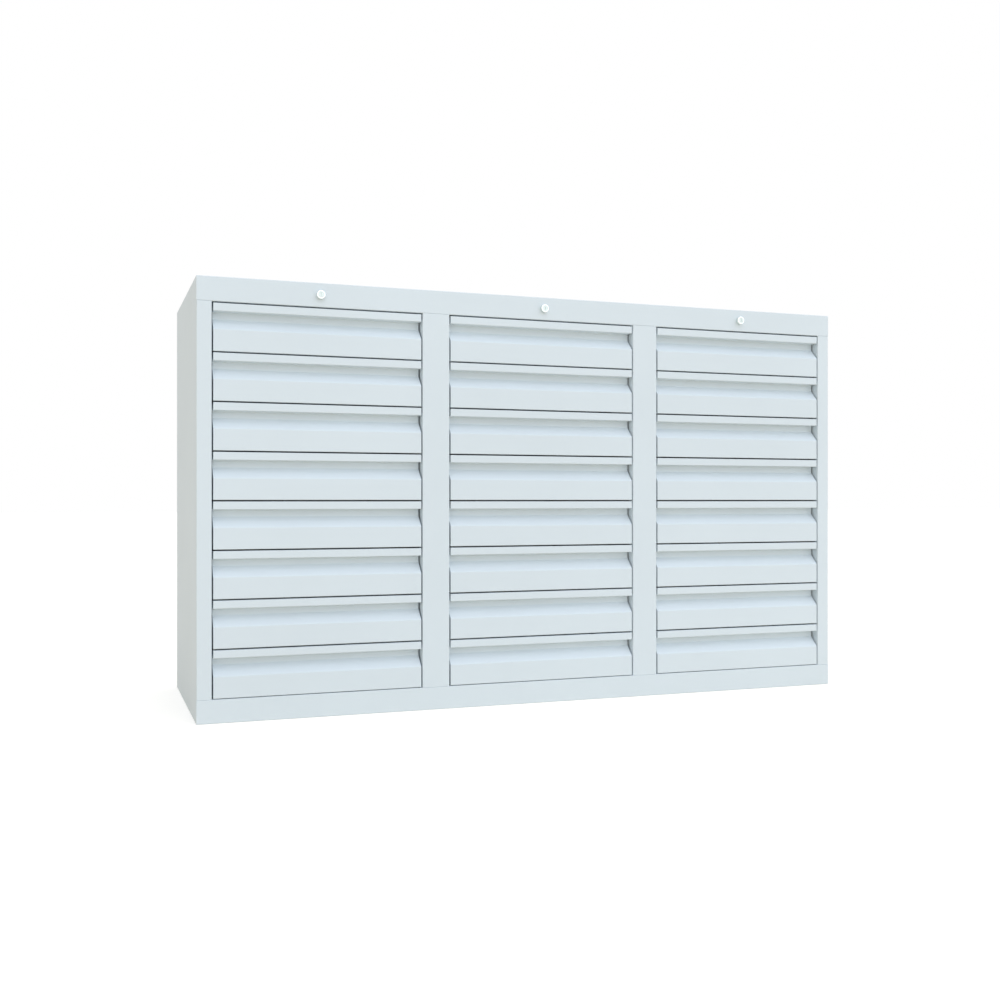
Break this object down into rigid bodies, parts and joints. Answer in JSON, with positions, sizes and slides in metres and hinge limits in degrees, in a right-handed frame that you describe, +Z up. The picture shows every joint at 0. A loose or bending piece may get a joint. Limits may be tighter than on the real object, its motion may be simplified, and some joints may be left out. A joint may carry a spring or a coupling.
{
  "type": "drawer cabinet",
  "caption": "Free-standing sheet-steel cabinet with columns of small drawers, a finger recess in every drawer front and a key lock over each column.",
  "frame": {"origin": "on the floor, in the middle of the case's base", "axes": "+Z up, the drawers open towards -Y, and +X is to the right for a person who faces them"},
  "size_m": [1.5, 0.508, 0.9],
  "materials": {
    "case_paint": "light grey powder coat, satin, with a very fine texture",
    "drawer_paint": "light grey powder coat, satin, with a very fine texture",
    "zinc_plated_steel": "bright zinc plate, slightly dull",
    "polished_lock_metal": "polished nickel plate"
  },
  "bodies": {
    "case": {"case_wrap": "case_paint", "top_panel": "case_paint", "base_panel": "case_paint", "column_partitions": "case_paint", "drawer_runners": "zinc_plated_steel", "lock_fittings": "polished_lock_metal"},
    "lock_a_core": {"lock_a_core": "polished_lock_metal"},
    "lock_a_bar": {"lock_a_bar": "zinc_plated_steel"},
    "drawer_a1": {"drawer_a1_front": "drawer_paint", "drawer_a1_tray": "drawer_paint"},
    "drawer_a2": {"drawer_a2_front": "drawer_paint", "drawer_a2_tray": "drawer_paint"},
    "drawer_a3": {"drawer_a3_front": "drawer_paint", "drawer_a3_tray": "drawer_paint"},
    "drawer_a4": {"drawer_a4_front": "drawer_paint", "drawer_a4_tray": "drawer_paint"},
    "drawer_a5": {"drawer_a5_front": "drawer_paint", "drawer_a5_tray": "drawer_paint"},
    "drawer_a6": {"drawer_a6_front": "drawer_paint", "drawer_a6_tray": "drawer_paint"},
    "drawer_a7": {"drawer_a7_front": "drawer_paint", "drawer_a7_tray": "drawer_paint"},
    "drawer_a8": {"drawer_a8_front": "drawer_paint", "drawer_a8_tray": "drawer_paint"},
    "lock_b_core": {"lock_b_core": "polished_lock_metal"},
    "lock_b_bar": {"lock_b_bar": "zinc_plated_steel"},
    "drawer_b1": {"drawer_b1_front": "drawer_paint", "drawer_b1_tray": "drawer_paint"},
    "drawer_b2": {"drawer_b2_front": "drawer_paint", "drawer_b2_tray": "drawer_paint"},
    "drawer_b3": {"drawer_b3_front": "drawer_paint", "drawer_b3_tray": "drawer_paint"},
    "drawer_b4": {"drawer_b4_front": "drawer_paint", "drawer_b4_tray": "drawer_paint"},
    "drawer_b5": {"drawer_b5_front": "drawer_paint", "drawer_b5_tray": "drawer_paint"},
    "drawer_b6": {"drawer_b6_front": "drawer_paint", "drawer_b6_tray": "drawer_paint"},
    "drawer_b7": {"drawer_b7_front": "drawer_paint", "drawer_b7_tray": "drawer_paint"},
    "drawer_b8": {"drawer_b8_front": "drawer_paint", "drawer_b8_tray": "drawer_paint"},
    "lock_c_core": {"lock_c_core": "polished_lock_metal"},
    "lock_c_bar": {"lock_c_bar": "zinc_plated_steel"},
    "drawer_c1": {"drawer_c1_front": "drawer_paint", "drawer_c1_tray": "drawer_paint"},
    "drawer_c2": {"drawer_c2_front": "drawer_paint", "drawer_c2_tray": "drawer_paint"},
    "drawer_c3": {"drawer_c3_front": "drawer_paint", "drawer_c3_tray": "drawer_paint"},
    "drawer_c4": {"drawer_c4_front": "drawer_paint", "drawer_c4_tray": "drawer_paint"},
    "drawer_c5": {"drawer_c5_front": "drawer_paint", "drawer_c5_tray": "drawer_paint"},
    "drawer_c6": {"drawer_c6_front": "drawer_paint", "drawer_c6_tray": "drawer_paint"},
    "drawer_c7": {"drawer_c7_front": "drawer_paint", "drawer_c7_tray": "drawer_paint"},
    "drawer_c8": {"drawer_c8_front": "drawer_paint", "drawer_c8_tray": "drawer_paint"}
  },
  "joints": [
    {"name": "lock_a_turn", "type": "hinge", "parent": "case", "child": "lock_a_core", "pos_m": [-0.5, -0.25, 0.875], "axis": [0, 1, 0], "range_deg": [0, 90]},
    {"name": "lock_a_bar_lift", "type": "slide", "parent": "case", "child": "lock_a_bar", "axis": [0, 0, 1], "range_m": [0, 0.01697]},
    {"name": "drawer_a1_slide", "type": "slide", "parent": "case", "child": "drawer_a1", "axis": [0, -1, 0], "range_m": [0, 0.34]},
    {"name": "drawer_a2_slide", "type": "slide", "parent": "case", "child": "drawer_a2", "axis": [0, -1, 0], "range_m": [0, 0.34]},
    {"name": "drawer_a3_slide", "type": "slide", "parent": "case", "child": "drawer_a3", "axis": [0, -1, 0], "range_m": [0, 0.34]},
    {"name": "drawer_a4_slide", "type": "slide", "parent": "case", "child": "drawer_a4", "axis": [0, -1, 0], "range_m": [0, 0.34]},
    {"name": "drawer_a5_slide", "type": "slide", "parent": "case", "child": "drawer_a5", "axis": [0, -1, 0], "range_m": [0, 0.34]},
    {"name": "drawer_a6_slide", "type": "slide", "parent": "case", "child": "drawer_a6", "axis": [0, -1, 0], "range_m": [0, 0.34]},
    {"name": "drawer_a7_slide", "type": "slide", "parent": "case", "child": "drawer_a7", "axis": [0, -1, 0], "range_m": [0, 0.34]},
    {"name": "drawer_a8_slide", "type": "slide", "parent": "case", "child": "drawer_a8", "axis": [0, -1, 0], "range_m": [0, 0.34]},
    {"name": "lock_b_turn", "type": "hinge", "parent": "case", "child": "lock_b_core", "pos_m": [0, -0.25, 0.875], "axis": [0, 1, 0], "range_deg": [0, 90]},
    {"name": "lock_b_bar_lift", "type": "slide", "parent": "case", "child": "lock_b_bar", "axis": [0, 0, 1], "range_m": [0, 0.01697]},
    {"name": "drawer_b1_slide", "type": "slide", "parent": "case", "child": "drawer_b1", "axis": [0, -1, 0], "range_m": [0, 0.34]},
    {"name": "drawer_b2_slide", "type": "slide", "parent": "case", "child": "drawer_b2", "axis": [0, -1, 0], "range_m": [0, 0.34]},
    {"name": "drawer_b3_slide", "type": "slide", "parent": "case", "child": "drawer_b3", "axis": [0, -1, 0], "range_m": [0, 0.34]},
    {"name": "drawer_b4_slide", "type": "slide", "parent": "case", "child": "drawer_b4", "axis": [0, -1, 0], "range_m": [0, 0.34]},
    {"name": "drawer_b5_slide", "type": "slide", "parent": "case", "child": "drawer_b5", "axis": [0, -1, 0], "range_m": [0, 0.34]},
    {"name": "drawer_b6_slide", "type": "slide", "parent": "case", "child": "drawer_b6", "axis": [0, -1, 0], "range_m": [0, 0.34]},
    {"name": "drawer_b7_slide", "type": "slide", "parent": "case", "child": "drawer_b7", "axis": [0, -1, 0], "range_m": [0, 0.34]},
    {"name": "drawer_b8_slide", "type": "slide", "parent": "case", "child": "drawer_b8", "axis": [0, -1, 0], "range_m": [0, 0.34]},
    {"name": "lock_c_turn", "type": "hinge", "parent": "case", "child": "lock_c_core", "pos_m": [0.5, -0.25, 0.875], "axis": [0, 1, 0], "range_deg": [0, 90]},
    {"name": "lock_c_bar_lift", "type": "slide", "parent": "case", "child": "lock_c_bar", "axis": [0, 0, 1], "range_m": [0, 0.01697]},
    {"name": "drawer_c1_slide", "type": "slide", "parent": "case", "child": "drawer_c1", "axis": [0, -1, 0], "range_m": [0, 0.34]},
    {"name": "drawer_c2_slide", "type": "slide", "parent": "case", "child": "drawer_c2", "axis": [0, -1, 0], "range_m": [0, 0.34]},
    {"name": "drawer_c3_slide", "type": "slide", "parent": "case", "child": "drawer_c3", "axis": [0, -1, 0], "range_m": [0, 0.34]},
    {"name": "drawer_c4_slide", "type": "slide", "parent": "case", "child": "drawer_c4", "axis": [0, -1, 0], "range_m": [0, 0.34]},
    {"name": "drawer_c5_slide", "type": "slide", "parent": "case", "child": "drawer_c5", "axis": [0, -1, 0], "range_m": [0, 0.34]},
    {"name": "drawer_c6_slide", "type": "slide", "parent": "case", "child": "drawer_c6", "axis": [0, -1, 0], "range_m": [0, 0.34]},
    {"name": "drawer_c7_slide", "type": "slide", "parent": "case", "child": "drawer_c7", "axis": [0, -1, 0], "range_m": [0, 0.34]},
    {"name": "drawer_c8_slide", "type": "slide", "parent": "case", "child": "drawer_c8", "axis": [0, -1, 0], "range_m": [0, 0.34]}
  ],
  "couplings": [
    {"joint": "lock_a_turn", "follows": "lock_a_bar_lift", "rad_per_m": 92.551},
    {"joint": "lock_b_turn", "follows": "lock_b_bar_lift", "rad_per_m": 92.551},
    {"joint": "lock_c_turn", "follows": "lock_c_bar_lift", "rad_per_m": 92.551}
  ]
}
